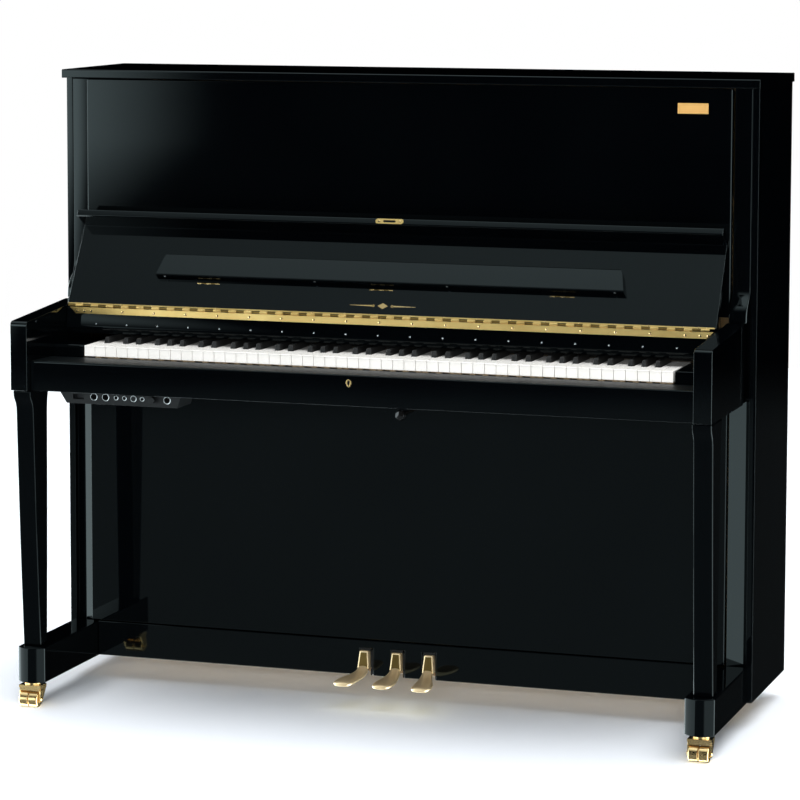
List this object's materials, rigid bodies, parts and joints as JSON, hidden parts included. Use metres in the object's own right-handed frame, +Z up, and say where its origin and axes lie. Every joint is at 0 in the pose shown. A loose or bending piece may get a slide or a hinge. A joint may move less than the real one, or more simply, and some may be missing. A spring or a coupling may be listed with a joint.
{
  "type": "upright piano",
  "caption": "Upright piano in polished black with open fallboard, folding music desk, brass pedals, front legs on casters and a headphone control box.",
  "frame": {"origin": "on the floor under the centre of the bounding box", "axes": "+X to the treble side, the keyboard and pedals face -Y, +Z up"},
  "size_m": [1.49, 0.65, 1.3],
  "materials": {
    "polish": "polished black polyester over wood",
    "brass": "polished and lacquered",
    "ivory": "semi-gloss white key covering",
    "ebony": "satin black key",
    "spruce": "satin varnished spruce",
    "timber": "sealed timber",
    "plate_gold": "gold bronze paint",
    "steel": "drawn steel",
    "felt": "wool felt",
    "plastic": "fine satin black",
    "black_knob": "polished black"
  },
  "bodies": {
    "case": {"action_frame": "timber", "back_frame": "timber", "bottom_board": "timber", "bottom_rail": "polish", "control_box": "plastic", "iron_plate": "plate_gold", "key_bed": "polish", "key_slip": "polish", "left_arm": "polish", "left_column": "polish", "left_key_block": "polish", "left_leg": "polish", "left_side_panel": "polish", "left_toe_block": "polish", "nameboard": "polish", "right_arm": "polish", "right_column": "polish", "right_key_block": "polish", "right_leg": "polish", "right_side_panel": "polish", "right_toe_block": "polish", "soundboard": "spruce", "strings": "steel", "upper_panel": "polish"},
    "lid": {"top_lid": "polish"},
    "fallboard": {"fallboard": "polish", "fallboard_hinge": "brass"},
    "music_desk": {"music_desk": "polish"},
    "lower_panel": {"lower_panel": "polish"},
    "soft_pedal": {"soft_pedal": "brass"},
    "muffler_pedal": {"muffler_pedal": "brass"},
    "sustain_pedal": {"sustain_pedal": "brass"},
    "hammer_rest_rail": {"hammer_rest_rail": "timber"},
    "muffler_rail": {"muffler_rail": "felt"},
    "damper_lift_rail": {"damper_lift_rail": "timber"},
    "volume_knob": {"volume_knob": "plastic"},
    "power_button": {"power_button": "plastic"},
    "mute_knob": {"mute_knob": "black_knob"},
    "bass_white_keys": {"bass_white_keys": "ivory"},
    "bass_black_keys": {"bass_black_keys": "ebony"},
    "treble_white_keys": {"treble_white_keys": "ivory"},
    "treble_black_keys": {"treble_black_keys": "ebony"},
    "front_left_caster_fork": {"front_left_caster_fork": "brass"},
    "front_left_caster_wheel": {"front_left_caster_wheel": "brass"},
    "rear_left_caster_wheel": {"rear_left_caster_wheel": "steel"},
    "front_right_caster_fork": {"front_right_caster_fork": "brass"},
    "front_right_caster_wheel": {"front_right_caster_wheel": "brass"},
    "rear_right_caster_wheel": {"rear_right_caster_wheel": "steel"},
    "key_a4": {"key_a4": "ivory"},
    "key_a_sharp4": {"key_a_sharp4": "ebony"},
    "key_b4": {"key_b4": "ivory"},
    "key_c4": {"key_c4": "ivory"},
    "key_c_sharp4": {"key_c_sharp4": "ebony"},
    "key_d4": {"key_d4": "ivory"},
    "key_d_sharp4": {"key_d_sharp4": "ebony"},
    "key_e4": {"key_e4": "ivory"},
    "key_f4": {"key_f4": "ivory"},
    "key_f_sharp4": {"key_f_sharp4": "ebony"},
    "key_g4": {"key_g4": "ivory"},
    "key_g_sharp4": {"key_g_sharp4": "ebony"}
  },
  "joints": [
    {"name": "lid_hinge", "type": "hinge", "parent": "case", "child": "lid", "pos_m": [0, 0.325, 1.2819], "axis": [-1, 0, 0], "range_deg": [0, 100]},
    {"name": "fallboard_hinge", "type": "hinge", "parent": "case", "child": "fallboard", "pos_m": [0, -0.124, 0.815], "axis": [-1, 0, 0], "range_deg": [-133.5, 0]},
    {"name": "music_desk_hinge", "type": "hinge", "parent": "fallboard", "child": "music_desk", "pos_m": [0, -0.09065, 0.87311], "axis": [1, 0, 0], "range_deg": [0, 90]},
    {"name": "lower_panel_tilt", "type": "hinge", "parent": "case", "child": "lower_panel", "pos_m": [0, -0.01, 0.128], "axis": [1, 0, 0], "range_deg": [0, 20]},
    {"name": "soft_pedal_press", "type": "hinge", "parent": "case", "child": "soft_pedal", "pos_m": [-0.068, 0.06, 0.095], "axis": [1, 0, 0], "range_deg": [0, 6.2], "stiffness_Nm_per_rad": 20, "springref_deg": -8.59},
    {"name": "hammer_rest_rail_lift", "type": "slide", "parent": "case", "child": "hammer_rest_rail", "axis": [0, 0, 1], "range_m": [0, 0.0099]},
    {"name": "muffler_pedal_press", "type": "hinge", "parent": "case", "child": "muffler_pedal", "pos_m": [0, 0.06, 0.095], "axis": [1, 0, 0], "range_deg": [0, 6.2], "stiffness_Nm_per_rad": 20, "springref_deg": -8.59},
    {"name": "muffler_rail_lift", "type": "slide", "parent": "case", "child": "muffler_rail", "axis": [0, 0, 1], "range_m": [0, 0.0099]},
    {"name": "sustain_pedal_press", "type": "hinge", "parent": "case", "child": "sustain_pedal", "pos_m": [0.068, 0.06, 0.095], "axis": [1, 0, 0], "range_deg": [0, 6.2], "stiffness_Nm_per_rad": 20, "springref_deg": -8.59},
    {"name": "damper_lift_rail_lift", "type": "slide", "parent": "case", "child": "damper_lift_rail", "axis": [0, 0, 1], "range_m": [0, 0.0099]},
    {"name": "volume_turn", "type": "hinge", "parent": "case", "child": "volume_knob", "pos_m": [-0.43, -0.284, 0.649], "axis": [0, -1, 0], "range_deg": [-140, 140]},
    {"name": "power_press", "type": "slide", "parent": "case", "child": "power_button", "axis": [0, 1, 0], "range_m": [0, 0.002], "stiffness_N_per_m": 400, "springref_m": -0.001},
    {"name": "mute_pull", "type": "slide", "parent": "case", "child": "mute_knob", "axis": [0, -1, 0], "range_m": [0, 0.025]},
    {"name": "front_left_swivel", "type": "hinge", "parent": "case", "child": "front_left_caster_fork", "pos_m": [-0.703, -0.278, 0.047], "axis": [0, 0, 1], "continuous": true},
    {"name": "front_left_roll", "type": "hinge", "parent": "front_left_caster_fork", "child": "front_left_caster_wheel", "pos_m": [-0.703, -0.292, 0.016], "axis": [1, 0, 0], "continuous": true},
    {"name": "front_right_swivel", "type": "hinge", "parent": "case", "child": "front_right_caster_fork", "pos_m": [0.703, -0.278, 0.047], "axis": [0, 0, 1], "continuous": true},
    {"name": "front_right_roll", "type": "hinge", "parent": "front_right_caster_fork", "child": "front_right_caster_wheel", "pos_m": [0.703, -0.292, 0.016], "axis": [1, 0, 0], "continuous": true},
    {"name": "rear_left_roll", "type": "hinge", "parent": "case", "child": "rear_left_caster_wheel", "pos_m": [-0.676, 0.285, 0.016], "axis": [1, 0, 0], "continuous": true},
    {"name": "rear_right_roll", "type": "hinge", "parent": "case", "child": "rear_right_caster_wheel", "pos_m": [0.676, 0.285, 0.016], "axis": [1, 0, 0], "continuous": true},
    {"name": "bass_white_keys_press", "type": "hinge", "parent": "case", "child": "bass_white_keys", "pos_m": [0, 0.02, 0.706], "axis": [1, 0, 0], "range_deg": [0, 2.7], "stiffness_Nm_per_rad": 13.8, "springref_deg": -22.92},
    {"name": "bass_black_keys_press", "type": "hinge", "parent": "case", "child": "bass_black_keys", "pos_m": [0, 0.02, 0.706], "axis": [1, 0, 0], "range_deg": [0, 3.2], "stiffness_Nm_per_rad": 9.6, "springref_deg": -22.92},
    {"name": "treble_white_keys_press", "type": "hinge", "parent": "case", "child": "treble_white_keys", "pos_m": [0, 0.02, 0.706], "axis": [1, 0, 0], "range_deg": [0, 2.7], "stiffness_Nm_per_rad": 13.2, "springref_deg": -22.92},
    {"name": "treble_black_keys_press", "type": "hinge", "parent": "case", "child": "treble_black_keys", "pos_m": [0, 0.02, 0.706], "axis": [1, 0, 0], "range_deg": [0, 3.2], "stiffness_Nm_per_rad": 9, "springref_deg": -22.92},
    {"name": "key_a4_press", "type": "hinge", "parent": "case", "child": "key_a4", "pos_m": [0, 0.02, 0.706], "axis": [1, 0, 0], "range_deg": [0, 2.7], "stiffness_Nm_per_rad": 0.6, "springref_deg": -22.92},
    {"name": "key_a_sharp4_press", "type": "hinge", "parent": "case", "child": "key_a_sharp4", "pos_m": [0, 0.02, 0.706], "axis": [1, 0, 0], "range_deg": [0, 3.2], "stiffness_Nm_per_rad": 0.6, "springref_deg": -22.92},
    {"name": "key_b4_press", "type": "hinge", "parent": "case", "child": "key_b4", "pos_m": [0, 0.02, 0.706], "axis": [1, 0, 0], "range_deg": [0, 2.7], "stiffness_Nm_per_rad": 0.6, "springref_deg": -22.92},
    {"name": "key_c4_press", "type": "hinge", "parent": "case", "child": "key_c4", "pos_m": [0, 0.02, 0.706], "axis": [1, 0, 0], "range_deg": [0, 2.7], "stiffness_Nm_per_rad": 0.6, "springref_deg": -22.92},
    {"name": "key_c_sharp4_press", "type": "hinge", "parent": "case", "child": "key_c_sharp4", "pos_m": [0, 0.02, 0.706], "axis": [1, 0, 0], "range_deg": [0, 3.2], "stiffness_Nm_per_rad": 0.6, "springref_deg": -22.92},
    {"name": "key_d4_press", "type": "hinge", "parent": "case", "child": "key_d4", "pos_m": [0, 0.02, 0.706], "axis": [1, 0, 0], "range_deg": [0, 2.7], "stiffness_Nm_per_rad": 0.6, "springref_deg": -22.92},
    {"name": "key_d_sharp4_press", "type": "hinge", "parent": "case", "child": "key_d_sharp4", "pos_m": [0, 0.02, 0.706], "axis": [1, 0, 0], "range_deg": [0, 3.2], "stiffness_Nm_per_rad": 0.6, "springref_deg": -22.92},
    {"name": "key_e4_press", "type": "hinge", "parent": "case", "child": "key_e4", "pos_m": [0, 0.02, 0.706], "axis": [1, 0, 0], "range_deg": [0, 2.7], "stiffness_Nm_per_rad": 0.6, "springref_deg": -22.92},
    {"name": "key_f4_press", "type": "hinge", "parent": "case", "child": "key_f4", "pos_m": [0, 0.02, 0.706], "axis": [1, 0, 0], "range_deg": [0, 2.7], "stiffness_Nm_per_rad": 0.6, "springref_deg": -22.92},
    {"name": "key_f_sharp4_press", "type": "hinge", "parent": "case", "child": "key_f_sharp4", "pos_m": [0, 0.02, 0.706], "axis": [1, 0, 0], "range_deg": [0, 3.2], "stiffness_Nm_per_rad": 0.6, "springref_deg": -22.92},
    {"name": "key_g4_press", "type": "hinge", "parent": "case", "child": "key_g4", "pos_m": [0, 0.02, 0.706], "axis": [1, 0, 0], "range_deg": [0, 2.7], "stiffness_Nm_per_rad": 0.6, "springref_deg": -22.92},
    {"name": "key_g_sharp4_press", "type": "hinge", "parent": "case", "child": "key_g_sharp4", "pos_m": [0, 0.02, 0.706], "axis": [1, 0, 0], "range_deg": [0, 3.2], "stiffness_Nm_per_rad": 0.6, "springref_deg": -22.92}
  ],
  "couplings": [
    {"joint": "hammer_rest_rail_lift", "follows": "soft_pedal_press", "m_per_rad": 0.09},
    {"joint": "muffler_rail_lift", "follows": "muffler_pedal_press", "m_per_rad": 0.09},
    {"joint": "damper_lift_rail_lift", "follows": "sustain_pedal_press", "m_per_rad": 0.09}
  ]
}
